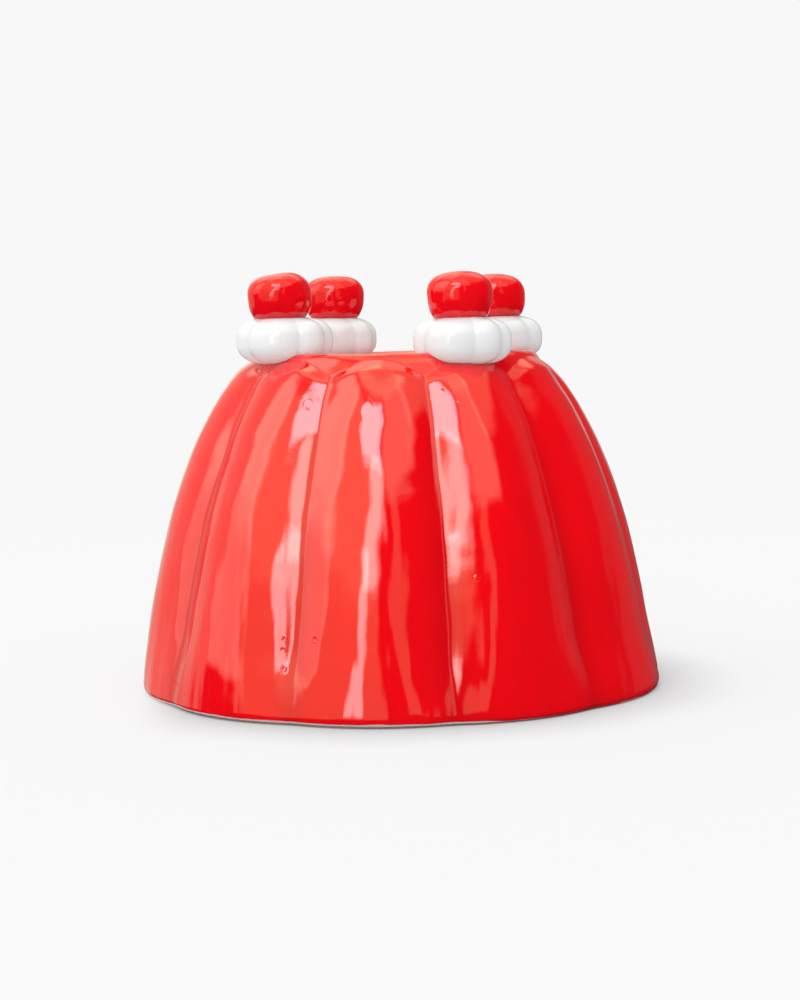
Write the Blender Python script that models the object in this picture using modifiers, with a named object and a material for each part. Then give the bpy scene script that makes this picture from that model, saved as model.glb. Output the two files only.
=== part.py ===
# A moulded jelly in glazed ceramic: a fluted dome with four scalloped dollops
# of cream on its shoulder, each with a cherry on top.
# Metres, +Z up. The origin is the middle of the flat underside, on the dome's
# axis, and -Y is the front. Directions round the axis are in degrees from the
# front, growing towards +X.

import math

import bmesh
import bpy
from mathutils import Vector

OBJECT_NAME = "moulded_jelly"

# The dome's outline, from the foot up to the rim
DOME_RADIUS = 0.1000       # axis to the crown of a lobe, at the foot
DOME_HEIGHT = 0.12775      # underside to the rim
FOOT_ROUNDING = 0.0025     # edge between the wall and the underside
WALL_RISE = 0.0917         # height over which the wall keeps to the foot's direction
WALL_LEAN = 0.104          # inward run of the wall at the foot, for each unit of rise
RIM_RADIUS = 0.0520        # axis to the highest ring
SHOULDER_RUN = 0.0073      # how far the rim's level carries out over the shoulder
DISH_RADIUS = 0.040        # the sunk top's level floor
DISH_DEPTH = 0.0025

# Round lobes stand side by side all round the dome, and run out below the rim.
# Each has the direction of the valley where it starts, and its crown's reach on
# the wall and at the foot, as shares of the dome's radius.
LOBES = (
    (10.7, 1.000, 1.000), (44.5, 0.984, 1.012), (86.0, 1.022, 1.020), (119.0, 1.000, 1.000),
    (152.5, 1.000, 1.000), (188.5, 1.000, 1.000), (224.5, 1.000, 1.000), (261.0, 1.000, 1.000),
    (301.0, 1.000, 1.000), (336.8, 1.000, 1.000),
)
LOBE_PLACE = 0.555         # the middle of a lobe's arc at the foot, as a share of the dome's radius
FLUTE_TOP = 0.1275         # height at which the valleys end
FLUTE_FADE = 0.0125        # height over which they reach their depth
FOOT_EASE = 0.45           # share of its depth that the fluting loses at the foot
FOOT_EASE_HEIGHT = 0.030

# Dollops of cream: squashed balls with uneven lobes, set in a ring
CREAM_RADIUS = 0.0183
CREAM_HALF_HEIGHT = 0.0090
CREAM_FULLNESS = 2.8       # 2 is an ellipse, more is squarer
CREAM_LOBE_PLACE = 0.50
CREAM_LOBE_EDGES = (0.0, 77.0, 124.0, 165.0, 211.0, 260.0, 311.0)
RING_RADIUS = 0.0479

# A cherry is turned from a squashed round with a flat top. Heights are counted
# from the middle of the dollop it stands in.
CHERRY_RADIUS = 0.0121
CHERRY_TOP = 0.0253
CHERRY_BELLY = 0.0170      # the widest ring
CHERRY_FOOT = 0.0055       # below the cream's top, where the cream cuts it off
CHERRY_FULLNESS = 2.5

# Each dollop: its direction on the ring, the height of its middle, how far it
# is turned, and how far its cherry is moved along X and leans to the left
DOLLOPS = {
    "front_left": {"direction": -58.8, "level": 0.1330, "turn": -55.0, "shift": -0.0015, "lean": -4.5},
    "front_right": {"direction": 31.2, "level": 0.1318, "turn": -63.0, "shift": -0.0007, "lean": 1.0},
    "back_right": {"direction": 121.2, "level": 0.1325, "turn": 20.0, "shift": -0.0010, "lean": -1.0},
    "back_left": {"direction": 211.2, "level": 0.1332, "turn": -20.0, "shift": 0.0006, "lean": 1.0},
}

GAP = 0.0003               # left between pieces that touch
MERGE = 0.00001

# Fineness of the solids
STEPS_IN_LOBE = 8
WALL_STEPS = 15
FOOT_STEPS = 3
DISH_STEPS = 4
CREAM_STEPS_IN_LOBE = 4
CREAM_RINGS = 11
CHERRY_STEPS = 24
CHERRY_RINGS = 5
SMOOTH_ANGLE = math.radians(50.0)


def clear_scene():
    for old in list(bpy.data.objects):
        bpy.data.objects.remove(old, do_unlink=True)


def new_collection(name):
    collection = bpy.data.collections.new(name)
    bpy.context.scene.collection.children.link(collection)
    return collection


def glazed(name, colour, roughness):
    """A glossy glaze of one colour."""
    material = bpy.data.materials.new(name)
    material.use_nodes = True
    shader = material.node_tree.nodes["Principled BSDF"]
    shader.inputs["Base Color"].default_value = (*colour, 1.0)
    shader.inputs["Roughness"].default_value = roughness
    shader.inputs["Metallic"].default_value = 0.0
    return material


def direction_to(degrees):
    """The level unit vector in a direction counted from the front."""
    angle = math.radians(degrees)
    return Vector((math.sin(angle), -math.cos(angle), 0.0))


def direction_of(point):
    """The direction of a point round the Z axis, from 0 to 360."""
    return math.degrees(math.atan2(point.x, -point.y)) % 360.0


def smooth_step(value):
    value = min(max(value, 0.0), 1.0)
    return value * value * (3.0 - 2.0 * value)


def bezier(points, share):
    start, leave, arrive, end = points
    rest = 1.0 - share
    near = rest ** 3 * start + 3.0 * rest ** 2 * share * leave
    return near + 3.0 * rest * share ** 2 * arrive + share ** 3 * end


def turned_mesh(name, profile, steps):
    """Turn a profile, given from the top of the axis down to its foot."""
    line = bpy.data.meshes.new(name)
    points = [(radius, 0.0, height) for radius, height in profile]
    edges = [(i, i + 1) for i in range(len(points) - 1)]
    line.from_pydata(points, edges, [])
    holder = bpy.data.objects.new(name, line)
    bpy.context.scene.collection.objects.link(holder)
    screw = holder.modifiers.new("Turn", "SCREW")
    screw.axis = "Z"
    screw.angle = math.tau
    screw.steps = steps
    screw.render_steps = steps
    screw.use_merge_vertices = True
    screw.merge_threshold = MERGE
    seen = holder.evaluated_get(bpy.context.evaluated_depsgraph_get())
    mesh = bpy.data.meshes.new_from_object(seen)
    bpy.data.objects.remove(holder, do_unlink=True)
    bpy.data.meshes.remove(line)
    mesh.name = name
    return mesh


def press_lobes(point, edges, place, share):
    """Move a point of a turned shape onto a ring of lobes of uneven width.

    The lobes lie between the given edges, in degrees, and each is an arc whose
    middle is at the given share of the radius. At a share of 0 the ring stays
    round, and at 1 it has the lobes' full depth.
    """
    count = len(edges)
    counted = direction_of(point) / 360.0 * count
    lobe = int(counted + MERGE) % count
    along = counted - int(counted + MERGE)
    start = edges[lobe]
    width = (edges[(lobe + 1) % count] - start) % 360.0
    off = abs(2.0 * along - 1.0) * math.pi / count
    arc = 1.0 - place
    reach = place * math.cos(off) + math.sqrt(arc ** 2 - (place * math.sin(off)) ** 2)
    radius = math.hypot(point.x, point.y) * (1.0 + (reach - 1.0) * share)
    moved = direction_to(start + along * width) * radius
    moved.z = point.z
    return moved


def dome_profile():
    """Radius and height from the sunk top over the rim and down to the underside."""
    profile = [(0.0, DOME_HEIGHT - DISH_DEPTH)]
    for i in range(DISH_STEPS):
        share = i / DISH_STEPS
        radius = DISH_RADIUS + (RIM_RADIUS - DISH_RADIUS) * share
        profile.append((radius, DOME_HEIGHT - DISH_DEPTH * (1.0 - smooth_step(share))))
    shoulder = (
        Vector((RIM_RADIUS, DOME_HEIGHT)),
        Vector((RIM_RADIUS + SHOULDER_RUN, DOME_HEIGHT)),
        Vector((DOME_RADIUS - WALL_LEAN * WALL_RISE, FOOT_ROUNDING + WALL_RISE)),
        Vector((DOME_RADIUS, FOOT_ROUNDING)),
    )
    for i in range(WALL_STEPS):
        profile.append(tuple(bezier(shoulder, i / WALL_STEPS)))
    for i in range(FOOT_STEPS + 1):
        angle = math.pi / 2.0 * i / FOOT_STEPS
        radius = DOME_RADIUS - FOOT_ROUNDING * (1.0 - math.cos(angle))
        profile.append((radius, FOOT_ROUNDING * (1.0 - math.sin(angle))))
    profile.append((0.0, 0.0))
    return profile


def crown_reach(direction, foot_share):
    """The reach in a direction, eased from each lobe's crown to the next."""
    valleys = [lobe[0] for lobe in LOBES]
    crowns = []
    for i, valley in enumerate(valleys):
        width = (valleys[(i + 1) % len(valleys)] - valley) % 360.0
        crowns.append(valley + width / 2.0)
    reaches = [wall + (foot - wall) * foot_share for _, wall, foot in LOBES]
    for i, crown in enumerate(crowns):
        following = (i + 1) % len(crowns)
        width = (crowns[following] - crown) % 360.0
        along = ((direction - crown) % 360.0) / width
        if along <= 1.0:
            return reaches[i] + (reaches[following] - reaches[i]) * smooth_step(along)
    return 1.0


def dome_mesh():
    """The fluted dome, whose valleys are as deep in metres near the rim as on the wall."""
    mesh = turned_mesh("jelly", dome_profile(), len(LOBES) * STEPS_IN_LOBE)
    valleys = [lobe[0] for lobe in LOBES]
    for vertex in mesh.vertices:
        height = vertex.co.z
        radius = math.hypot(vertex.co.x, vertex.co.y)
        share = smooth_step((FLUTE_TOP - height) / FLUTE_FADE) if radius > RIM_RADIUS else 0.0
        foot_share = 1.0 - smooth_step(height / FOOT_EASE_HEIGHT)
        depth = share * (1.0 - FOOT_EASE * foot_share) * DOME_RADIUS / max(radius, RIM_RADIUS)
        moved = press_lobes(vertex.co, valleys, LOBE_PLACE, depth)
        spread = 1.0 + (crown_reach(direction_of(moved), foot_share) - 1.0) * share
        vertex.co = (moved.x * spread, moved.y * spread, height)
    return mesh


def cream_mesh(name, turn):
    """A squashed ball round the origin, with its lobes turned by an angle."""
    edges = [edge + turn for edge in CREAM_LOBE_EDGES]
    profile = []
    for i in range(CREAM_RINGS + 1):
        angle = math.pi * i / CREAM_RINGS
        out = math.sin(angle) ** (2.0 / CREAM_FULLNESS) if 0 < i < CREAM_RINGS else 0.0
        up = abs(math.cos(angle)) ** (2.0 / CREAM_FULLNESS)
        height = math.copysign(up, math.cos(angle)) * CREAM_HALF_HEIGHT
        profile.append((CREAM_RADIUS * out, height))
    mesh = turned_mesh(name, profile, len(edges) * CREAM_STEPS_IN_LOBE)
    for vertex in mesh.vertices:
        vertex.co = press_lobes(vertex.co, edges, CREAM_LOBE_PLACE, 1.0)
    return mesh


def cherry_mesh(name):
    """A cherry round its widest ring's middle, long enough to stand in the cream."""
    profile = [(0.0, CHERRY_TOP - CHERRY_BELLY)]
    for i in range(1, 2 * CHERRY_RINGS + 1):
        angle = math.pi / 2.0 * i / CHERRY_RINGS
        upper = i <= CHERRY_RINGS
        half = CHERRY_TOP - CHERRY_BELLY if upper else CHERRY_BELLY - CHERRY_FOOT
        out = abs(math.sin(angle)) ** (2.0 / CHERRY_FULLNESS)
        up = abs(math.cos(angle)) ** (2.0 / CHERRY_FULLNESS)
        radius = CHERRY_RADIUS * out if i < 2 * CHERRY_RINGS else 0.0
        profile.append((radius, math.copysign(up * half, math.cos(angle))))
    return turned_mesh(name, profile, CHERRY_STEPS)


def add_object(name, mesh, collection, material):
    mesh.shade_smooth()
    mesh.set_sharp_from_angle(angle=SMOOTH_ANGLE)
    mesh.materials.clear()
    mesh.materials.append(material)
    piece = bpy.data.objects.new(name, mesh)
    collection.objects.link(piece)
    return piece


def grown_cutter(name, source, collection):
    """The same solid, grown all round by the gap, to cut what stands on it."""
    seen = source.evaluated_get(bpy.context.evaluated_depsgraph_get())
    mesh = bpy.data.meshes.new_from_object(seen)
    shape = bmesh.new()
    shape.from_mesh(mesh)
    bmesh.ops.remove_doubles(shape, verts=shape.verts, dist=MERGE)
    shape.normal_update()
    moves = [(vertex, vertex.normal * GAP) for vertex in shape.verts]
    for vertex, move in moves:
        vertex.co += move
    shape.to_mesh(mesh)
    shape.free()
    cutter = bpy.data.objects.new(name, mesh)
    cutter.matrix_world = source.matrix_world
    cutter.hide_render = True
    cutter.display_type = "WIRE"
    collection.objects.link(cutter)
    return cutter


def cut(piece, cutter):
    boolean = piece.modifiers.new("Cut by " + cutter.name, "BOOLEAN")
    boolean.operation = "DIFFERENCE"
    boolean.solver = "EXACT"
    boolean.object = cutter


def main():
    clear_scene()
    parts = new_collection(OBJECT_NAME)
    cutters = new_collection("cutters")
    red = glazed("red_glaze", (0.83, 0.02, 0.02), 0.08)
    cherry_red = glazed("cherry_glaze", (0.72, 0.01, 0.015), 0.08)
    white = glazed("cream_glaze", (0.88, 0.88, 0.86), 0.15)

    dome = add_object("jelly", dome_mesh(), parts, red)
    dome_cutter = grown_cutter("jelly_cutter", dome, cutters)

    for place, settings in DOLLOPS.items():
        middle = direction_to(settings["direction"]) * RING_RADIUS
        middle.z = settings["level"]

        name = "cream_" + place
        cream = add_object(name, cream_mesh(name, settings["turn"]), parts, white)
        cream.location = middle
        cut(cream, dome_cutter)
        bpy.context.view_layer.update()
        cream_cutter = grown_cutter(name + "_cutter", cream, cutters)

        name = "cherry_" + place
        cherry = add_object(name, cherry_mesh(name), parts, cherry_red)
        cherry.location = middle + Vector((settings["shift"], 0.0, CHERRY_BELLY))
        cherry.rotation_euler.y = math.radians(settings["lean"])
        cut(cherry, cream_cutter)


main()
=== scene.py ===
import math

import bmesh
import bpy
from mathutils import Matrix, Vector
from mathutils.geometry import interpolate_bezier


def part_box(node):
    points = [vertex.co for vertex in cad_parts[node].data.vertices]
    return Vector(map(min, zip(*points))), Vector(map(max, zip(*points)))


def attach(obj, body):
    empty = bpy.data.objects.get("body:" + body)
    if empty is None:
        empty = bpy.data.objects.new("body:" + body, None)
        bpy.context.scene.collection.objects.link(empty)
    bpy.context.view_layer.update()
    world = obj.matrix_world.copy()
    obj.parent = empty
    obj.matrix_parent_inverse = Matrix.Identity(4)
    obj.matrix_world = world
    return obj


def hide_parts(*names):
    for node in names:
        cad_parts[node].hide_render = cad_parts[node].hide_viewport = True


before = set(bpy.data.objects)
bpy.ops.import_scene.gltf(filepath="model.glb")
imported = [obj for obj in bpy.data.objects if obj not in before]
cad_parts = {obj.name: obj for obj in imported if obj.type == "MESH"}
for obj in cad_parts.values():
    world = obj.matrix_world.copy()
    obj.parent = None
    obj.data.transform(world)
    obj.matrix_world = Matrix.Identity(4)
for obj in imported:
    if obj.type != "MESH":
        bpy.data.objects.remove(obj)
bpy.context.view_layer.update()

# A glazed ceramic jelly: a fluted dome with four scalloped dollops of cream on
# its shoulder, each with a cherry. Metres, Z up, the front is -Y. Directions
# round the dome are degrees from the front, growing towards +X.


def feed(tree, socket, value):
    if isinstance(value, bpy.types.NodeSocket):
        tree.links.new(value, socket)
    else:
        socket.default_value = value


def addNode(tree, kind, settings=None, inputs=None):
    made = tree.nodes.new(kind)
    for name, value in (settings or {}).items():
        setattr(made, name, value)
    for name, value in (inputs or {}).items():
        feed(tree, made.inputs[name], value)
    return made


def calc(tree, operation, *values):
    made = tree.nodes.new("ShaderNodeMath")
    made.operation = operation
    for socket, value in zip(made.inputs, values):
        feed(tree, socket, value)
    return made.outputs[0]


def times(tree, product, *values):
    for value in values:
        product = calc(tree, "MULTIPLY", product, value)
    return product


def rest(tree, share):
    # what a share leaves of the whole
    return calc(tree, "SUBTRACT", 1.0, share)


def ease(tree, value, start, end, low=0.0, high=1.0):
    made = addNode(tree, "ShaderNodeMapRange", {"interpolation_type": "SMOOTHSTEP"}, {
        "Value": value, "From Min": start, "From Max": end, "To Min": low, "To Max": high})
    return made.outputs["Result"]


def drawCurve(tree, value, points, handle):
    made = tree.nodes.new("ShaderNodeFloatCurve")
    made.mapping.use_clip = False
    line = made.mapping.curves[0]
    while len(line.points) < len(points):
        line.points.new(0.5, 0.5)
    for point, place in zip(line.points, points):
        point.location = place
        point.handle_type = handle
    made.mapping.update()
    feed(tree, made.inputs["Value"], value)
    return made.outputs[0]


def drawRun(tree, height, run):
    # a curve given as pairs of a height and a share
    low, high = run[0][0], run[-1][0]
    made = addNode(tree, "ShaderNodeMapRange", None, {"Value": height, "From Min": low, "From Max": high})
    points = [((at - low) / (high - low), share) for at, share in run]
    return drawCurve(tree, made.outputs["Result"], points, "AUTO_CLAMPED")


def addInputs(tree, sizes):
    kinds = {int: "NodeSocketInt", float: "NodeSocketFloat"}
    for name, value in sizes.items():
        made = tree.interface.new_socket(name, in_out="INPUT", socket_type=kinds[type(value)])
        made.default_value = value


# Turning a profile and pressing lobes into it. The profile lies in the plane
# X = 0 on the front side, from the top of the axis down to its foot.

def layProfile(tree, given, position, count):
    # a sheet whose columns go round and whose rows go down the profile
    columns = calc(tree, "MULTIPLY_ADD", given["stepsInLobe"], float(count), 1.0)
    sheet = addNode(tree, "GeometryNodeMeshGrid", None, {"Vertices X": columns, "Vertices Y": given["rows"]})
    index = tree.nodes.new("GeometryNodeInputIndex").outputs[0]
    column = calc(tree, "FLOOR", calc(tree, "DIVIDE", calc(tree, "ADD", index, 0.5), given["rows"]))
    row = calc(tree, "SUBTRACT", index, times(tree, column, given["rows"]))
    onProfile = addNode(tree, "GeometryNodeSampleIndex", {"data_type": "FLOAT_VECTOR", "domain": "POINT"}, {
        "Geometry": given["profile"], "Value": position, "Index": row})
    place = addNode(tree, "ShaderNodeSeparateXYZ", None, {0: onProfile.outputs[0]}).outputs
    return sheet.outputs[0], column, times(tree, place[1], -1.0), place[2]


def placeColumns(tree, given, column, valleys):
    # where a column stands in its lobe, and its direction: the columns crowd together at the valleys
    crowding = 0.6
    justUnder = 0.0001
    count = len(valleys)
    counted = calc(tree, "DIVIDE", column, given["stepsInLobe"])
    lobe = calc(tree, "FLOOR", calc(tree, "ADD", counted, justUnder))
    even = calc(tree, "MAXIMUM", calc(tree, "SUBTRACT", counted, lobe), 0.0)
    swing = calc(tree, "SINE", times(tree, even, math.tau))
    along = calc(tree, "SUBTRACT", even, times(tree, swing, crowding / math.tau))
    around = calc(tree, "DIVIDE", calc(tree, "ADD", lobe, along), float(count))
    starts = [(i / count, (valleys[i] - valleys[0]) % 360.0 / 360.0) for i in range(count)]
    share = drawCurve(tree, around, starts + [(1.0, 1.0)], "VECTOR")
    direction = calc(tree, "MULTIPLY_ADD", share, math.tau, math.radians(valleys[0]))
    direction = calc(tree, "ADD", direction, times(tree, given["turn"], math.pi / 180.0))
    return along, around, direction


def crownReach(tree, given, around, height, foot, crowns, feet):
    # how far each crown reaches on the wall and at the foot, as shares of the profile's radius
    fadeHeight = 0.012
    reaches = []
    for shares in (crowns, feet):
        points = [((i + 0.5) / len(shares), reach) for i, reach in enumerate(shares)]
        reaches.append(drawCurve(tree, around, [(0.0, 1.0)] + points + [(1.0, 1.0)], "AUTO"))
    onWall, atFoot = reaches
    underTop = ease(tree, height, given["archTop"], calc(tree, "SUBTRACT", given["archTop"], fadeHeight))
    crown = calc(tree, "MULTIPLY_ADD", calc(tree, "SUBTRACT", atFoot, onWall), foot, onWall)
    return calc(tree, "MULTIPLY_ADD", calc(tree, "SUBTRACT", crown, 1.0), underTop, 1.0)


def pressLobes(tree, given, along, radius, height, foot, crown, run):
    # how far a point lies from the crowns: 0 on a crown, 1 in a valley
    fromValley = rest(tree, calc(tree, "ABSOLUTE", calc(tree, "MULTIPLY_ADD", along, 2.0, -1.0)))
    squares = [calc(tree, "POWER", value, 2.0) for value in (fromValley, given["valleySoft"])]
    inner = calc(tree, "MAXIMUM", rest(tree, calc(tree, "SQRT", calc(tree, "ADD", *squares))), 0.0)
    hollow = calc(tree, "POWER", inner, given["lobeRound"])
    # the valleys run out at each end, and every lobe closes in a low arch under the top end
    edge = calc(tree, "SUBTRACT", given["lobesFrom"], 0.00001)
    fall = times(tree, drawRun(tree, height, run), calc(tree, "GREATER_THAN", radius, edge))
    drop = times(tree, given["archDrop"], calc(tree, "POWER", inner, 2.0))
    fromArch = calc(tree, "SUBTRACT", height, calc(tree, "SUBTRACT", given["archTop"], drop))
    climb = calc(tree, "ADD", calc(tree, "DIVIDE", fromArch, given["archRise"]), 1.0)
    climb = calc(tree, "POWER", calc(tree, "MAXIMUM", climb, 0.0), 2.0)
    bulge = calc(tree, "SMOOTH_MAX", rest(tree, climb), 0.0, given["archSoft"])
    bulge = times(tree, rest(tree, hollow), bulge)
    depth = times(tree, given["lobeDepth"], rest(tree, times(tree, given["footEase"], foot)))
    pushed = times(tree, rest(tree, bulge), depth)
    lobed = calc(tree, "SUBTRACT", times(tree, radius, crown), times(tree, pushed, fall))
    return calc(tree, "MAXIMUM", lobed, 0.0), times(tree, hollow, fall)


def liftFoot(tree, given, direction, height):
    # the rim of the foot, which stands between these two heights, lifts a little off the table on one side
    lowest, highest = 0.0001, 0.0005
    inRim = times(tree, calc(tree, "GREATER_THAN", height, lowest), calc(tree, "LESS_THAN", height, highest))
    towards = times(tree, given["liftTowards"], math.pi / 180.0)
    side = calc(tree, "MAXIMUM", calc(tree, "COSINE", calc(tree, "SUBTRACT", direction, towards)), 0.0)
    return calc(tree, "ADD", height, times(tree, inRim, given["footLift"], side))


def roughenByHand(tree, given, position, geometry):
    # the hand-made unevenness, which dies out at the foot
    fadeHeight = 0.01
    slow = addNode(tree, "ShaderNodeTexNoise", {"noise_dimensions": "4D", "normalize": False}, {
        "Vector": position, "W": given["seed"], "Scale": given["wobbleScale"], "Detail": 1.0})
    height = addNode(tree, "ShaderNodeSeparateXYZ", None, {0: position}).outputs[2]
    level = ease(tree, height, given["wobbleFoot"], calc(tree, "ADD", given["wobbleFoot"], fadeHeight))
    push = times(tree, slow.outputs[0], given["wobble"], level)
    normal = tree.nodes.new("GeometryNodeInputNormal").outputs[0]
    offset = addNode(tree, "ShaderNodeVectorMath", {"operation": "SCALE"}, {0: normal, "Scale": push})
    uneven = addNode(tree, "GeometryNodeSetPosition", None, {
        "Geometry": geometry, "Offset": offset.outputs[0]}).outputs[0]
    lean = times(tree, given["lean"], math.pi / 180.0)
    turn = addNode(tree, "ShaderNodeCombineXYZ", None, {1: lean}).outputs[0]
    return addNode(tree, "GeometryNodeTransform", None, {"Geometry": uneven, "Rotation": turn}).outputs[0]


def turnedLobesTree(name, valleys, crowns, feet, run, sizes):
    weld = 0.000002
    tree = bpy.data.node_groups.new(name, "GeometryNodeTree")
    tree.interface.new_socket("profile", in_out="INPUT", socket_type="NodeSocketGeometry")
    addInputs(tree, dict(sizes, rows=2))
    tree.interface.new_socket("glaze", in_out="INPUT", socket_type="NodeSocketMaterial")
    tree.interface.new_socket("piece", in_out="OUTPUT", socket_type="NodeSocketGeometry")
    given = tree.nodes.new("NodeGroupInput").outputs
    position = tree.nodes.new("GeometryNodeInputPosition").outputs[0]
    sheet, column, radius, height = layProfile(tree, given, position, len(valleys))
    along, around, direction = placeColumns(tree, given, column, valleys)
    foot = ease(tree, height, given["footHeight"], 0.0)
    crown = crownReach(tree, given, around, height, foot, crowns, feet)
    reach, hollow = pressLobes(tree, given, along, radius, height, foot, crown, run)
    bent = addNode(tree, "ShaderNodeCombineXYZ", None, {
        0: times(tree, calc(tree, "SINE", direction), reach),
        1: times(tree, calc(tree, "COSINE", direction), reach, -1.0),
        2: liftFoot(tree, given, direction, height)})
    shaped = addNode(tree, "GeometryNodeSetPosition", None, {"Geometry": sheet, "Position": bent.outputs[0]})
    marked = addNode(tree, "GeometryNodeStoreNamedAttribute", {"data_type": "FLOAT", "domain": "POINT"}, {
        "Geometry": shaped.outputs[0], "Name": "hollow", "Value": hollow})
    closed = addNode(tree, "GeometryNodeMergeByDistance", None, {
        "Geometry": marked.outputs[0], "Distance": weld})
    uneven = roughenByHand(tree, given, position, closed.outputs[0])
    real = addNode(tree, "GeometryNodeRealizeInstances", None, {"Geometry": uneven})
    glazed = addNode(tree, "GeometryNodeSetMaterial", None, {
        "Geometry": real.outputs[0], "Material": given["glaze"]})
    feed(tree, tree.nodes.new("NodeGroupOutput").inputs[0], glazed.outputs[0])
    return tree


def turnPiece(name, profile, tree, values, material):
    mesh = bpy.data.meshes.new(name)
    points = [(0.0, -radius, height) for radius, height in profile]
    mesh.from_pydata(points, [(i, i + 1) for i in range(len(points) - 1)], [])
    piece = bpy.data.objects.new(name, mesh)
    bpy.context.scene.collection.objects.link(piece)
    turning = piece.modifiers.new("turnedLobes", "NODES")
    turning.node_group = tree
    values = dict(values, rows=len(points), glaze=material)
    for socket in tree.interface.items_tree:
        if socket.in_out == "INPUT" and socket.name in values:
            turning[socket.identifier] = values[socket.name]
    bpy.context.view_layer.update()
    seen = piece.evaluated_get(bpy.context.evaluated_depsgraph_get())
    finished = bpy.data.meshes.new_from_object(seen)
    piece.modifiers.remove(turning)
    piece.data = finished
    bpy.data.meshes.remove(mesh)
    finished.name = name
    shape = bmesh.new()
    shape.from_mesh(finished)
    bmesh.ops.recalc_face_normals(shape, faces=shape.faces)
    shape.to_mesh(finished)
    shape.free()
    finished.shade_smooth()
    return piece


def meshBox(mesh):
    corners = [[vertex.co[axis] for vertex in mesh.vertices] for axis in range(3)]
    return Vector([min(line) for line in corners]), Vector([max(line) for line in corners])


def fitToSolid(piece, node, fromTop):
    # moves the piece over its solid, and takes off what would stand out of its box
    low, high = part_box(node)
    pieceLow, pieceHigh = meshBox(piece.data)
    size, pieceSize = high - low, pieceHigh - pieceLow
    shrink = [min(1.0, size[axis] / pieceSize[axis]) for axis in (0, 1)]
    middle, pieceMiddle = (low + high) / 2.0, (pieceLow + pieceHigh) / 2.0
    aim = Vector((middle.x, middle.y, high.z if fromTop else low.z))
    grip = Vector((pieceMiddle.x, pieceMiddle.y, pieceHigh.z if fromTop else pieceLow.z))
    scale = Matrix.Diagonal((shrink[0], shrink[1], 1.0, 1.0))
    piece.data.transform(Matrix.Translation(aim) @ scale @ Matrix.Translation(-grip))
    print(piece.name, "set over", node, "shrunk by", [round(1.0 - value, 4) for value in shrink])


# Shader groups that the glazes share

def newShaderGroup(name, inputs, outputs):
    group = bpy.data.node_groups.new(name, "ShaderNodeTree")
    kinds = {"value": "NodeSocketFloat", "vector": "NodeSocketVector", "colour": "NodeSocketColor"}
    for label, (kind, default) in inputs.items():
        made = group.interface.new_socket(label, in_out="INPUT", socket_type=kinds[kind])
        if default is not None:
            made.default_value = default
    for label, kind in outputs.items():
        group.interface.new_socket(label, in_out="OUTPUT", socket_type=kinds[kind])
    return group, group.nodes.new("NodeGroupInput").outputs, group.nodes.new("NodeGroupOutput").inputs


def noise(tree, vector, scale, detail, seed=0.0):
    made = addNode(tree, "ShaderNodeTexNoise", {"noise_dimensions": "4D", "normalize": False}, {
        "Vector": vector, "W": seed, "Scale": scale, "Detail": detail})
    return made.outputs[0]


def onVectors(tree, operation, first, second):
    return addNode(tree, "ShaderNodeVectorMath", {"operation": operation}, {0: first, 1: second}).outputs[0]


def stretched(tree, vector, scale):
    return onVectors(tree, "MULTIPLY", vector, scale)


def heightOf(tree, vector):
    return addNode(tree, "ShaderNodeSeparateXYZ", None, {0: vector}).outputs[2]


def blend(tree, share, first, second):
    made = addNode(tree, "ShaderNodeMix", {"data_type": "RGBA"})
    for index, value in ((0, share), (6, first), (7, second)):
        feed(tree, made.inputs[index], value)
    return made.outputs[2]


def makeRippleGroup():
    # the height, in metres, of the uneven surface of a poured glaze
    group, given, out = newShaderGroup("glazeRipple", {
        "Vector": ("vector", None), "Scale": ("value", 45.0), "Swell": ("value", 0.0001),
        "Drag": ("value", 0.00003), "Peel": ("value", 0.000006), "Seed": ("value", 0.0)}, {"Height": "value"})
    vector, seed = given["Vector"], given["Seed"]
    total = times(group, noise(group, vector, given["Scale"], 1.5, seed), given["Swell"])
    # broad runs and fine streaks, drawn out upright, which grow stronger towards the foot
    runs = {"scale": 85.0, "upright": 0.06, "growth": (0.11, 0.02, 0.35, 1.0)}
    streaks = {"scale": 170.0, "upright": 0.08, "growth": (0.075, 0.020, 0.09, 0.42)}
    for drawn in (runs, streaks):
        upright = stretched(group, vector, (1.0, 1.0, drawn["upright"]))
        waves = noise(group, upright, drawn["scale"], 1.0, seed)
        strength = times(group, given["Drag"], ease(group, heightOf(group, vector), *drawn["growth"]))
        total = calc(group, "MULTIPLY_ADD", waves, strength, total)
    peelScale = 620.0
    peel = noise(group, vector, peelScale, 1.0, seed)
    feed(group, out["Height"], calc(group, "MULTIPLY_ADD", peel, given["Peel"], total))
    return group


def makePoolAndShadeGroup():
    # thin glaze on the crowns, and a darker colour in the hollows and low down that is partly thicker, pooled
    # glaze and partly painted shade
    group, given, out = newShaderGroup("glazePoolAndShade", {
        "Vector": ("vector", None), "Thin": ("colour", (1, 1, 1, 1)), "ThickAndShaded": ("colour", (1, 1, 1, 1)),
        "Hollow": ("value", 0.0), "GatheredAndShaded": ("value", 0.0), "Mottle": ("value", 0.3), "Seed": ("value", 0.0)
    }, {"Color": "colour"})
    cloudScale, cloudStretch, narrowing = 60.0, (1.0, 1.0, 0.4), 4.0
    cloud = noise(group, stretched(group, given["Vector"], cloudStretch), cloudScale, 3.0, given["Seed"])
    inHollow = calc(group, "POWER", given["Hollow"], narrowing)
    pooledAndShaded = calc(group, "MULTIPLY_ADD", cloud, given["Mottle"], inHollow)
    pooledAndShaded = calc(group, "ADD", pooledAndShaded, given["GatheredAndShaded"])
    pooledAndShaded = calc(group, "MINIMUM", calc(group, "MAXIMUM", pooledAndShaded, 0.0), 1.0)
    feed(group, out["Color"], blend(group, pooledAndShaded, given["Thin"], given["ThickAndShaded"]))
    return group


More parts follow.
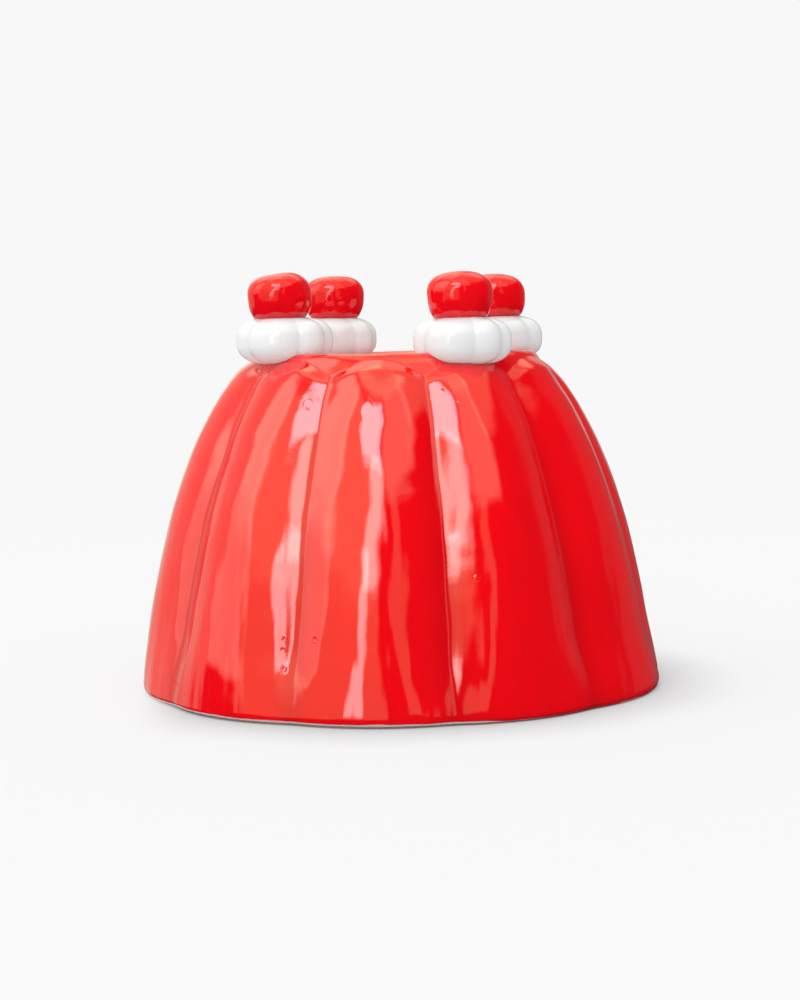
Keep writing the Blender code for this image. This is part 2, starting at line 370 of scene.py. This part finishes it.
def makePinholeGroup():
    # small pits where a bubble burst in the kiln, each between 0.4 and 1.2 of the width
    group, given, out = newShaderGroup("glazePinholes", {
        "Vector": ("vector", None), "Scale": ("value", 70.0), "Share": ("value", 0.2),
        "Width": ("value", 0.0005), "Depth": ("value", 0.0001)}, {"Height": "value"})
    cells = addNode(group, "ShaderNodeTexVoronoi", None, {"Vector": given["Vector"], "Scale": given["Scale"]})
    distance = calc(group, "DIVIDE", cells.outputs["Distance"], given["Scale"])
    draws = addNode(group, "ShaderNodeSeparateColor", None, {0: cells.outputs["Color"]}).outputs
    chosen = calc(group, "LESS_THAN", draws[0], given["Share"])
    size = times(group, given["Width"], calc(group, "MULTIPLY_ADD", draws[1], 0.8, 0.4))
    pit = times(group, ease(group, distance, size, 0.0), chosen)
    feed(group, out["Height"], times(group, pit, given["Depth"], -1.0))
    return group


def makeDimpleGroup():
    # one shallow dimple with a low ring round it, where something touched the wet glaze
    group, given, out = newShaderGroup("glazeDimple", {
        "Vector": ("vector", None), "Centre": ("vector", None), "Wide": ("value", 0.002),
        "Tall": ("value", 0.002), "Depth": ("value", 0.0002)}, {"Height": "value"})
    throughWall = 0.01
    ringStart, ringTop, ringEnd, ringShare = 0.7, 1.05, 1.5, 0.35
    away = onVectors(group, "SUBTRACT", given["Vector"], given["Centre"])
    size = addNode(group, "ShaderNodeCombineXYZ", None, {
        0: given["Wide"], 1: throughWall, 2: given["Tall"]}).outputs[0]
    even = onVectors(group, "DIVIDE", away, size)
    far = addNode(group, "ShaderNodeVectorMath", {"operation": "LENGTH"}, {0: even}).outputs["Value"]
    cup = ease(group, far, 1.0, 0.2)
    ring = times(group, ease(group, far, ringStart, ringTop), ease(group, far, ringEnd, ringTop))
    height = calc(group, "SUBTRACT", times(group, ring, ringShare), cup)
    feed(group, out["Height"], times(group, height, given["Depth"]))
    return group


ripple = makeRippleGroup()
poolAndShade = makePoolAndShadeGroup()
pinholes = makePinholeGroup()
dimple = makeDimpleGroup()
print("shader groups made")


def newMaterial(name):
    material = bpy.data.materials.new(name)
    material.use_nodes = True
    tree = material.node_tree
    shader = tree.nodes["Principled BSDF"]
    vector = tree.nodes.new("ShaderNodeTexCoord").outputs["Object"]
    return material, tree, shader, vector


def useGroup(tree, group, inputs):
    made = tree.nodes.new("ShaderNodeGroup")
    made.node_tree = group
    for name, value in inputs.items():
        feed(tree, made.inputs[name], value)
    return made.outputs


def addBump(tree, shader, heights):
    total = heights[0]
    for height in heights[1:]:
        total = calc(tree, "ADD", total, height)
    bump = addNode(tree, "ShaderNodeBump", None, {"Strength": 1.0, "Distance": 1.0, "Height": total})
    feed(tree, shader.inputs["Normal"], bump.outputs[0])


def softenBounce(tree, colour, looks):
    # the light that a glaze throws on its surroundings is paler than the glaze
    bounced = tree.nodes.new("ShaderNodeLightPath").outputs["Is Diffuse Ray"]
    return blend(tree, bounced, colour, (*looks["bounce"], 1.0))


def glazeMaterial(name, looks):
    material, tree, shader, vector = newMaterial(name)
    hollow = addNode(tree, "ShaderNodeAttribute", {"attribute_name": "hollow"}).outputs["Fac"]
    # the glaze is thinnest at the top and gathers a little towards the foot; that darkening low down is
    # partly painted shade
    gatheredAndShaded = ease(tree, heightOf(tree, vector), *looks["gathersAndShade"])
    coloured = useGroup(tree, poolAndShade, {
        "Vector": vector, "Thin": (*looks["thin"], 1.0), "ThickAndShaded": (*looks["thickAndShaded"], 1.0), "Hollow": hollow,
        "GatheredAndShaded": gatheredAndShaded, "Mottle": looks["mottle"], "Seed": looks["seed"]})["Color"]
    waves = useGroup(tree, ripple, {
        "Vector": vector, "Scale": looks["swellScale"], "Swell": looks["swell"], "Drag": looks["drag"],
        "Peel": looks["peel"], "Seed": looks["seed"]})
    pits = useGroup(tree, pinholes, {
        "Vector": vector, "Scale": looks["pitScale"], "Share": looks["pitShare"], "Width": looks["pitWidth"],
        "Depth": looks["pitDepth"]})
    shader.inputs["IOR"].default_value = looks["ior"]
    shader.inputs["Specular IOR Level"].default_value = looks["specular"]
    smears = noise(tree, vector, looks["smearScale"], 3.0, looks["seed"])
    rough = calc(tree, "MULTIPLY_ADD", smears, looks["smear"], looks["roughness"])
    return material, tree, shader, vector, coloured, rough, [waves["Height"], pits["Height"]]


# The dome

dome = {
    "footRadius": 0.1000, "wallRise": 0.0917, "wallLean": 0.104, "wallSlack": 0.001, "rimRadius": 0.0520,
    "shoulderRun": 0.0073, "footRounding": 0.0023, "rollDrop": 0.0018, "rollRun": 0.0006,
    "clayHeight": 0.0014, "clayInset": 0.0007, "gapHeight": 0.0003, "gapDepth": 0.0015, "chamfer": 0.0001,
    "dishRadius": 0.040, "dishDepth": 0.0025, "dishEase": 0.006,
    "rows": {"dish": 14, "wall": 130, "roll": 9},
    "valleys": (10.7, 44.5, 86.0, 119.0, 152.5, 188.5, 224.5, 261.0, 301.0, 336.8),
    # how far the crowns reach on the wall and at the foot, each as a share of the profile's radius
    "crowns": (1.0, 0.984, 1.022, 1.0, 1.0, 1.0, 1.0, 1.0, 1.0, 1.0),
    "feet": (1.0, 1.012, 1.02, 1.0, 1.0, 1.0, 1.0, 1.0, 1.0, 1.0),
    # the depth of the valleys by height, as shares of lobeDepth
    "run": (
        (0.0, 1.0), (0.09, 0.96), (0.100, 0.89), (0.111, 0.82), (0.1145, 0.77), (0.118, 0.68), (0.121, 0.53),
        (0.1235, 0.36), (0.125, 0.25), (0.1265, 0.12), (0.12775, 0.0)),
    "shape": {
        "stepsInLobe": 48, "turn": 0.0, "lean": 0.0, "seed": 3.0,
        "lobeDepth": 0.0070, "lobeRound": 1.95, "valleySoft": 0.09, "footEase": 0.66, "footHeight": 0.030,
        "lobesFrom": 0.0520, "archTop": 0.1256, "archDrop": 0.0065, "archRise": 0.0040, "archSoft": 0.25,
        "wobble": 0.00035, "wobbleScale": 38.0, "wobbleFoot": 0.004,
        "footLift": 0.0007, "liftTowards": -22.0},
    # the second colour fills the valleys and the lower wall: partly thick glaze, partly painted shade. The
    # gathering entry: from one height to another, the share of that darker colour goes from the third number
    # to the fourth
    "looks": {
        "thin": (0.95, 0.0004, 0.0030), "thickAndShaded": (0.58, 0.0, 0.0022), "mottle": 0.12, "seed": 1.7,
        "gathersAndShade": (0.085, 0.015, 0.12, 0.23),
        "swellScale": 45.0, "swell": 0.00022, "drag": 0.00032, "peel": 0.000004,
        "smearScale": 90.0, "smear": 0.012, "roughness": 0.05,
        "pitScale": 95.0, "pitShare": 0.10, "pitWidth": 0.0005, "pitDepth": 0.0001,
        "ior": 1.5, "specular": 1.0, "bounce": (0.80, 0.44, 0.44)},
    # the bare clay: the line's start and end from left to right, and its waves and softness in metres
    "clay": {
        "pale": (0.86, 0.74, 0.72), "dirty": (0.62, 0.45, 0.42),
        "dirt": 0.2, "grain": 0.12, "grainScale": 900.0,
        "lineEnd": 0.055, "lineStart": 0.015, "least": 0.0004, "over": 0.0001,
        "wave": 0.0004, "waveScale": 60.0, "soft": 0.00015, "roughness": 0.75},
    # where the wet glaze was touched or a bubble burst: the place, half the width and height, the depth
    "blemishes": {
        "upperLeft": ((-0.0312, -0.0587, 0.1098), 0.0015, 0.0018, 0.00004),
        "teardrop": ((-0.0103, -0.0699, 0.1077), 0.0020, 0.0031, 0.00006),
        "upperMiddle": ((0.0167, -0.0614, 0.1140), 0.0010, 0.0012, -0.00004),
        "ring": ((0.0269, -0.0863, 0.0501), 0.0011, 0.0011, -0.00004),
        "rimPit": ((-0.0510, -0.0251, 0.1224), 0.0012, 0.0010, 0.00030),
        "speckA": ((-0.0403, -0.0833, 0.0293), 0.0008, 0.0010, 0.00010),
        "speckB": ((-0.0407, -0.0840, 0.0258), 0.0009, 0.0008, 0.00012),
        "speckC": ((-0.0404, -0.0854, 0.0191), 0.0010, 0.0012, 0.00010),
        "speckD": ((-0.0296, -0.0887, 0.0299), 0.0008, 0.0010, 0.00010),
        "speckE": ((-0.0821, -0.0496, 0.0088), 0.0010, 0.0009, 0.00012)},
}


def domeProfile(sizes, top):
    rim, dishFloor, curl = sizes["rimRadius"], top - sizes["dishDepth"], sizes["dishEase"]
    dish = interpolate_bezier(
        (sizes["dishRadius"], dishFloor), (sizes["dishRadius"] + curl, dishFloor),
        (rim - curl, top), (rim, top), sizes["rows"]["dish"])
    # the wall is one curve from the shoulder down to where it rolls in over the clay
    out, foot = sizes["footRadius"], sizes["clayHeight"] + sizes["footRounding"]
    wall = interpolate_bezier(
        (rim, top), (rim + sizes["shoulderRun"], top),
        (out - sizes["wallLean"] * sizes["wallRise"], foot + sizes["wallRise"] - sizes["wallSlack"]),
        (out, foot), sizes["rows"]["wall"])
    inner = out - sizes["clayInset"]
    roll = interpolate_bezier(
        (out, foot), (out, foot - sizes["rollDrop"]),
        (inner + sizes["rollRun"], sizes["clayHeight"]), (inner, sizes["clayHeight"]), sizes["rows"]["roll"])
    points = [(0.0, dishFloor)]
    for line in (dish, wall[1:], roll[1:]):
        points += [(point[0], point[1]) for point in line]
    # bare clay down to a shallow gap over the table, then the flat underside
    gap, deep, chamfer = sizes["gapHeight"], sizes["gapDepth"], sizes["chamfer"]
    points += [(inner, gap), (inner - 2.0 * chamfer, gap - chamfer), (inner - deep, gap - chamfer)]
    points += [(inner - deep - gap, 0.0), (0.0, 0.0)]
    return points


def clayColour(tree, vector, clay):
    grain = times(tree, noise(tree, vector, clay["grainScale"], 3.0, 2.0), clay["grain"])
    return blend(tree, calc(tree, "ADD", grain, clay["dirt"]), (*clay["pale"], 1.0), (*clay["dirty"], 1.0))


def bareClay(tree, vector, clay, clayHeight):
    # the glaze stops short of the foot, in an uneven line over bare clay, and reaches the table on the right
    parts = addNode(tree, "ShaderNodeSeparateXYZ", None, {0: vector}).outputs
    line = ease(tree, parts[0], clay["lineEnd"], clay["lineStart"], clay["least"], clayHeight + clay["over"])
    edge = calc(tree, "MULTIPLY_ADD", noise(tree, vector, clay["waveScale"], 2.0, 5.0), clay["wave"], line)
    above, below = calc(tree, "ADD", edge, clay["soft"]), calc(tree, "SUBTRACT", edge, clay["soft"])
    return ease(tree, parts[2], above, below)


def redGlaze(looks, clay, clayHeight, blemishes):
    material, tree, shader, vector, coloured, rough, heights = glazeMaterial("redGlaze", looks)
    bare = bareClay(tree, vector, clay, clayHeight)
    colour = blend(tree, bare, coloured, clayColour(tree, vector, clay))
    feed(tree, shader.inputs["Base Color"], softenBounce(tree, colour, looks))
    feed(tree, shader.inputs["Roughness"], calc(tree, "MULTIPLY_ADD", bare, clay["roughness"], rough))
    for centre, wide, tall, depth in blemishes.values():
        heights.append(useGroup(tree, dimple, {
            "Vector": vector, "Centre": centre, "Wide": wide, "Tall": tall, "Depth": depth})["Height"])
    addBump(tree, shader, heights)
    return material


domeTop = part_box("jelly")[1].z
domeTree = turnedLobesTree(
    "flutedDome", dome["valleys"], dome["crowns"], dome["feet"], dome["run"], dome["shape"])
domeRed = redGlaze(dome["looks"], dome["clay"], dome["clayHeight"], dome["blemishes"])
jelly = turnPiece("flutedDome", domeProfile(dome, domeTop), domeTree, dome["shape"], domeRed)
fitToSolid(jelly, "jelly", False)
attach(jelly, "root")
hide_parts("jelly")
print("dome made,", len(jelly.data.polygons), "faces")


# The dollops of cream

# squashed balls have lobes from end to end: no arches, no foot, and no edge that lifts
ballLobes = {
    "stepsInLobe": 24, "turn": 0.0, "lean": 0.0, "seed": 0.0, "footEase": 0.0, "footHeight": -0.02,
    "lobesFrom": 0.0, "archTop": 1.0, "archDrop": 0.0, "archRise": 0.001, "archSoft": 0.0,
    "wobbleFoot": -0.05, "footLift": 0.0, "liftTowards": 0.0}

dollop = {
    "radius": 0.0181, "halfHeight": 0.0090, "fullness": 2.8, "rings": 60,
    "edges": (0.0, 77.0, 124.0, 165.0, 211.0, 260.0, 311.0),
    "turns": {"front_left": -55.0, "front_right": -63.0, "back_right": -30.0, "back_left": -42.0},
    "run": ((-0.0088, 0.0), (-0.0058, 1.0), (0.0058, 1.0), (0.0088, 0.0)),
    "shape": {
        "lobeDepth": 0.0021, "lobeRound": 1.8, "valleySoft": 0.06, "wobble": 0.0003, "wobbleScale": 60.0,
        **ballLobes},
    "looks": {
        # the darker colour in the cream's grooves is partly thicker glaze and partly painted shade
        "thin": (0.845, 0.855, 0.855), "thickAndShaded": (0.815, 0.825, 0.825), "mottle": 0.2, "seed": 4.1,
        "gathersAndShade": (0.14, 0.13, 0.25, 0.25),
        "swellScale": 70.0, "swell": 0.00012, "drag": 0.00002, "peel": 0.000003,
        "smearScale": 90.0, "smear": 0.02, "roughness": 0.10,
        "pitScale": 120.0, "pitShare": 0.06, "pitWidth": 0.0004, "pitDepth": 0.00006,
        "ior": 1.5, "specular": 0.5, "bounce": (0.7, 0.7, 0.7)},
}


def squashedProfile(radius, up, down, fullness, rings):
    points = []
    for i in range(rings + 1):
        angle = math.pi * i / rings
        out = math.sin(angle) ** (2.0 / fullness) if 0 < i < rings else 0.0
        rise = abs(math.cos(angle)) ** (2.0 / fullness)
        points.append((radius * out, rise * up if angle < math.pi / 2.0 else -rise * down))
    return points


def plainGlaze(name, looks):
    material, tree, shader, vector, coloured, rough, heights = glazeMaterial(name, looks)
    feed(tree, shader.inputs["Base Color"], softenBounce(tree, coloured, looks))
    feed(tree, shader.inputs["Roughness"], rough)
    addBump(tree, shader, heights)
    return material


ones = (1.0,) * len(dollop["edges"])
dollopTree = turnedLobesTree("scallopedDollop", dollop["edges"], ones, ones, dollop["run"], dollop["shape"])
creamWhite = plainGlaze("creamGlaze", dollop["looks"])
half = dollop["halfHeight"]
dollopProfile = squashedProfile(dollop["radius"], half, half, dollop["fullness"], dollop["rings"])
for seed, (place, turn) in enumerate(dollop["turns"].items()):
    values = dict(dollop["shape"], turn=turn, seed=10.0 * seed)
    cream = turnPiece("dollop_" + place, dollopProfile, dollopTree, values, creamWhite)
    fitToSolid(cream, "cream_" + place, True)
    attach(cream, "root")
    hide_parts("cream_" + place)
print("dollops made")


# The cherries

cherry = {
    "radius": 0.0121, "up": 0.0083, "down": 0.0115, "fullness": 2.5, "rings": 50,
    "edges": (0.0, 70.0, 140.0, 215.0, 290.0), "turnStep": 40.0,
    "leans": {"front_left": -4.5, "front_right": 1.0, "back_right": -1.0, "back_left": 1.0},
    "run": ((-0.0088, 0.0), (-0.0048, 1.0), (0.0038, 1.0), (0.0078, 0.0)),
    "shape": {
        "lobeDepth": 0.0003, "lobeRound": 1.5, "valleySoft": 0.3, "wobble": 0.0005, "wobbleScale": 80.0,
        **ballLobes},
    "looks": {
        # the cherry is darker low down and in its dents: partly thicker glaze, partly painted shade where it
        # sits on the cream
        "thin": (0.92, 0.0020, 0.007), "thickAndShaded": (0.68, 0.0, 0.004), "mottle": 0.3, "seed": 7.3,
        "gathersAndShade": (0.155, 0.138, 0.15, 0.55),
        "swellScale": 120.0, "swell": 0.00020, "drag": 0.00003, "peel": 0.000004,
        "smearScale": 90.0, "smear": 0.02, "roughness": 0.06,
        "pitScale": 120.0, "pitShare": 0.10, "pitWidth": 0.0005, "pitDepth": 0.0001,
        "ior": 1.5, "specular": 0.58, "bounce": (0.40, 0.14, 0.14)},
}

ones = (1.0,) * len(cherry["edges"])
cherryTree = turnedLobesTree("glazedCherry", cherry["edges"], ones, ones, cherry["run"], cherry["shape"])
cherryRed = plainGlaze("cherryGlaze", cherry["looks"])
cherryProfile = squashedProfile(
    cherry["radius"], cherry["up"], cherry["down"], cherry["fullness"], cherry["rings"])
for seed, (place, lean) in enumerate(cherry["leans"].items()):
    values = dict(cherry["shape"], turn=cherry["turnStep"] * seed, lean=lean, seed=10.0 * seed + 5.0)
    berry = turnPiece("glazedCherry_" + place, cherryProfile, cherryTree, values, cherryRed)
    fitToSolid(berry, "cherry_" + place, True)
    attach(berry, "root")
    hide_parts("cherry_" + place)
print("cherries made")


# The studio: a pale floor that fades into the background, and soft light from large panels

studio = {
    "background": 0.938, "panelShare": 0.44, "evenLight": 0.72,
    "floorColour": 0.60, "floorSeen": 0.22, "floorGlow": 0.665, "cornerReach": 0.036,
    "floorRadius": 1.6, "floorSides": 96, "floorFade": (0.25, 0.9), "floorShade": (-0.101, -0.075),
    # each panel: direction, half its width, low edge, high edge and softness in degrees, strength, and blue
    # in its tint. One that leans also has how far its direction turns for each degree that it rises
    "panels": {
        "zenith": (0.0, 190.0, 76.0, 130.0, 5.0, 0.9, 0.64),
        "ceiling": (-60.0, 118.0, 64.0, 76.0, 5.0, 1.5, 0.64),
        "ceilingRight": (85.0, 38.0, 43.0, 76.0, 6.0, 0.7, 0.65),
        "window": (-19.5, 21.5, 42.0, 61.0, 3.0, 4.5, 1.12),
        "windowTail": (-9.0, 10.5, 20.0, 44.0, 4.5, 3.4, 0.97, 0.25),
        "windowStrip": (-23.0, 6.5, -3.0, 24.0, 4.0, 3.2, 1.02, 0.4),
        "air": (0.0, 190.0, -130.0, 130.0, 3.0, 0.030, 1.7),
        "leftPanel": (-85.0, 19.0, 3.0, 60.0, 4.0, 1.2, 0.78),
        "leftPanelHigh": (-85.0, 19.0, 20.0, 60.0, 8.0, 1.0, 0.78),
        "leftWall": (-36.0, 34.0, -8.0, 60.0, 5.0, 0.58, 0.60),
        "leftWallHigh": (-36.0, 34.0, 16.0, 60.0, 8.0, 0.42, 0.60),
        "leftRear": (-142.0, 38.0, -15.0, 64.0, 6.0, 0.6, 0.78),
        "rightPanel": (31.0, 25.0, 33.0, 65.0, 6.0, 1.1, 0.75),
        "rightStrip": (20.0, 6.0, 3.0, 34.0, 3.0, 0.5, 0.65),
        "rightRear": (140.0, 30.0, -10.0, 76.0, 8.0, 0.08, 0.85),
        "back": (180.0, 22.0, 0.0, 40.0, 6.0, 0.4, 0.80),
        "backHigh": (180.0, 50.0, 36.0, 76.0, 8.0, 1.2, 0.70),
    },
}


def makePanelGroup():
    # a soft-edged panel of light, as far away as the sky, whose low and high edges are a little sharper
    edgeShare = 0.7
    names = ("Azimuth", "Elevation", "Direction", "HalfWidth", "Low", "High", "Edge", "Strength", "Slant")
    inputs = {name: ("value", 0.0) for name in names}
    group, given, out = newShaderGroup("softPanel", inputs, {"Light": "value"})
    middle = times(group, calc(group, "ADD", given["Low"], given["High"]), 0.5)
    risen = calc(group, "SUBTRACT", given["Elevation"], middle)
    turned = calc(group, "MULTIPLY_ADD", risen, given["Slant"], given["Direction"])
    aside = calc(group, "WRAP", calc(group, "SUBTRACT", given["Azimuth"], turned), 180.0, -180.0)
    aside = calc(group, "ABSOLUTE", aside)
    wide, edge = given["HalfWidth"], given["Edge"]
    light = ease(group, aside, calc(group, "ADD", wide, edge), calc(group, "SUBTRACT", wide, edge))
    for limit, sign in (("Low", 1.0), ("High", -1.0)):
        outer = calc(group, "MULTIPLY_ADD", edge, -edgeShare * sign, given[limit])
        inner = calc(group, "MULTIPLY_ADD", edge, edgeShare * sign, given[limit])
        light = times(group, light, ease(group, given["Elevation"], outer, inner))
    feed(group, out["Light"], times(group, light, given["Strength"]))
    return group


def addPanels(tree, azimuth, elevation, glossy, panels):
    panel = makePanelGroup()
    total = (0.0, 0.0, 0.0)
    for direction, wide, low, high, edge, strength, blue, *slant in panels.values():
        light = useGroup(tree, panel, {
            "Azimuth": azimuth, "Elevation": elevation, "Direction": direction, "HalfWidth": wide, "Low": low,
            "High": high, "Edge": edge, "Strength": strength, "Slant": slant[0] if slant else 0.0})["Light"]
        # the tint shows only in the glaze, not in the light that falls on things
        bluish = calc(tree, "MULTIPLY_ADD", glossy, blue - 1.0, 1.0)
        blueLight = times(tree, light, bluish)
        tinted = addNode(tree, "ShaderNodeCombineXYZ", None, {0: light, 1: light, 2: blueLight}).outputs[0]
        total = onVectors(tree, "ADD", total, tinted)
    return total


def makeRoom(sizes):
    world = bpy.data.worlds.new("paleStudio")
    world.use_nodes = True
    tree = world.node_tree
    tree.nodes.clear()
    way = tree.nodes.new("ShaderNodeTexCoord").outputs["Generated"]
    parts = addNode(tree, "ShaderNodeSeparateXYZ", None, {0: way}).outputs
    azimuth = calc(tree, "DEGREES", calc(tree, "ARCTAN2", parts[0], times(tree, parts[1], -1.0)))
    elevation = calc(tree, "DEGREES", calc(tree, "ARCSINE", parts[2]))
    path = tree.nodes.new("ShaderNodeLightPath").outputs
    total = addPanels(tree, azimuth, elevation, path["Is Glossy Ray"], sizes["panels"])
    # the panels show in the glaze, and the light that falls on things comes more evenly from all round
    falling = rest(tree, path["Is Glossy Ray"])
    kept = calc(tree, "MULTIPLY_ADD", falling, sizes["panelShare"] - 1.0, 1.0)
    total = onVectors(tree, "MULTIPLY", total, kept)
    total = onVectors(tree, "ADD", total, times(tree, falling, sizes["evenLight"]))
    seen = blend(tree, path["Is Camera Ray"], total, (sizes["background"],) * 3 + (1.0,))
    sky = addNode(tree, "ShaderNodeBackground", None, {"Color": seen, "Strength": 1.0})
    feed(tree, tree.nodes.new("ShaderNodeOutputWorld").inputs["Surface"], sky.outputs[0])
    bpy.context.scene.world = world


def paleSurface(sizes):
    material, tree, shader, vector = newMaterial("paleSurface")
    tree.nodes.remove(shader)
    # the camera sees it almost evenly white, darker only close to what stands on it
    seen = tree.nodes.new("ShaderNodeLightPath").outputs["Is Camera Ray"]
    level = calc(tree, "MULTIPLY_ADD", seen, sizes["floorSeen"] - sizes["floorColour"], sizes["floorColour"])
    matt = addNode(tree, "ShaderNodeBsdfDiffuse", None, {"Color": level})
    near = addNode(tree, "ShaderNodeAmbientOcclusion", None, {"Distance": sizes["cornerReach"]}).outputs["AO"]
    # that shade is lost on the left, where the light comes from
    side = addNode(tree, "ShaderNodeSeparateXYZ", None, {0: vector}).outputs[0]
    shade = times(tree, rest(tree, near), ease(tree, side, *sizes["floorShade"]))
    glowing = times(tree, rest(tree, shade), seen, sizes["floorGlow"])
    glow = addNode(tree, "ShaderNodeEmission", None, {"Strength": glowing})
    lit = addNode(tree, "ShaderNodeAddShader", None, {0: matt.outputs[0], 1: glow.outputs[0]})
    clear = tree.nodes.new("ShaderNodeBsdfTransparent")
    far = addNode(tree, "ShaderNodeVectorMath", {"operation": "LENGTH"}, {0: vector}).outputs["Value"]
    fade = times(tree, ease(tree, far, *sizes["floorFade"]), seen)
    faded = addNode(tree, "ShaderNodeMixShader", None, {0: fade, 1: lit.outputs[0], 2: clear.outputs[0]})
    feed(tree, tree.nodes["Material Output"].inputs["Surface"], faded.outputs[0])
    return material


def makeFloor(sizes):
    mesh = bpy.data.meshes.new("paleFloor")
    shape = bmesh.new()
    bmesh.ops.create_circle(shape, cap_ends=True, segments=sizes["floorSides"], radius=sizes["floorRadius"])
    shape.to_mesh(mesh)
    shape.free()
    mesh.materials.append(paleSurface(sizes))
    floor = bpy.data.objects.new("paleFloor", mesh)
    floor.visible_glossy = False
    bpy.context.scene.collection.objects.link(floor)


makeRoom(studio)
makeFloor(studio)
bpy.context.scene.view_settings.view_transform = "Standard"
print("studio made")


# The camera

view = {
    "lens": 73.296, "sensor": 36.0, "nearest": 0.01,
    "place": (0.00088, -0.78664, 0.13452), "down": 4.65, "roll": 1.084}

camera = bpy.data.objects.new("camera", bpy.data.cameras.new("camera"))
camera.data.lens = view["lens"]
camera.data.sensor_width = view["sensor"]
camera.data.clip_start = view["nearest"]
tilt = Matrix.Rotation(math.radians(90.0 - view["down"]), 4, "X")
roll = Matrix.Rotation(math.radians(-view["roll"]), 4, "Z")
camera.matrix_world = Matrix.Translation(view["place"]) @ tilt @ roll
bpy.context.scene.collection.objects.link(camera)
bpy.context.scene.camera = camera
print("camera set")
